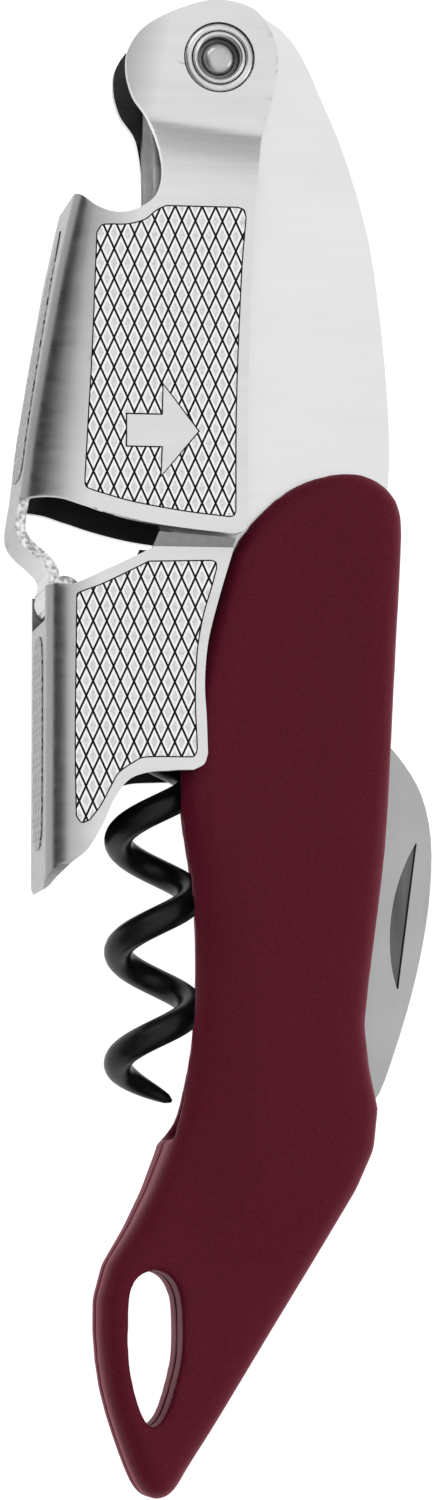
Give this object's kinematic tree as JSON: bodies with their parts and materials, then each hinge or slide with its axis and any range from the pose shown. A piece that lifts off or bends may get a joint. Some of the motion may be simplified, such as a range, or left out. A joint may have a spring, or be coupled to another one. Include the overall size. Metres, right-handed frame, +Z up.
{
  "type": "waiters corkscrew",
  "caption": "Double-lever waiter's corkscrew: moulded handle, folded knurled steel levers, black coated worm, foil knife and a hanging slot in the tail.",
  "frame": {"origin": "centre of the closed tool's box, on the ground it lies on", "axes": "+Z up out of the front face, +Y from tail to head rivet, +X towards the knife side; every hinge axis is along Z"},
  "size_m": [0.0352, 0.1236, 0.014],
  "materials": {
    "brushed_steel": "fine brushed",
    "knurled_steel": "satin, with pressed diamond knurl",
    "shaded_steel": "plain",
    "burgundy_soft_touch": "matt soft touch over moulded plastic",
    "black_coating": "satin black non-stick coating on steel"
  },
  "bodies": {
    "base": {"front_scale": "burgundy_soft_touch", "rear_scale": "burgundy_soft_touch", "front_liner": "brushed_steel", "rear_liner": "brushed_steel", "head_tube": "brushed_steel", "head_rivet": "brushed_steel", "head_spacer": "shaded_steel", "worm_pin": "brushed_steel", "worm_washer_front": "brushed_steel", "worm_washer_rear": "brushed_steel", "knife_pin": "brushed_steel", "knife_washer_front": "brushed_steel", "knife_washer_rear": "brushed_steel", "back_spring": "brushed_steel", "spring_pin_upper": "brushed_steel", "spring_pin_lower": "brushed_steel", "tail_spacer": "shaded_steel", "frame_pin_upper": "brushed_steel", "frame_pin_middle": "brushed_steel", "frame_pin_lower": "brushed_steel"},
    "upper_lever": {"upper_lever": "knurled_steel", "ear_bush_front": "shaded_steel", "ear_bush_rear": "shaded_steel"},
    "lower_lever": {"lower_lever": "knurled_steel", "lever_hinge_pin": "brushed_steel"},
    "worm": {"worm": "black_coating"},
    "knife": {"knife_blade": "brushed_steel"}
  },
  "joints": [
    {"name": "lever_pivot", "type": "hinge", "parent": "base", "child": "upper_lever", "pos_m": [-0.0008, 0.05693, 0.007], "axis": [0, 0, -1], "range_deg": [0, 140]},
    {"name": "lower_lever_hinge", "type": "hinge", "parent": "upper_lever", "child": "lower_lever", "pos_m": [-0.0136, 0.01204, 0.007], "axis": [0, 0, -1], "range_deg": [0, 80]},
    {"name": "worm_pivot", "type": "hinge", "parent": "base", "child": "worm", "pos_m": [-0.0049, 0.01264, 0.007], "axis": [0, 0, -1], "range_deg": [0, 100]},
    {"name": "knife_pivot", "type": "hinge", "parent": "base", "child": "knife", "pos_m": [0.0082, -0.03146, 0.007], "axis": [0, 0, -1], "range_deg": [0, 130]}
  ],
  "couplings": [
    {"joint": "worm_pivot", "follows": "lever_pivot", "ratio": 0.714}
  ]
}
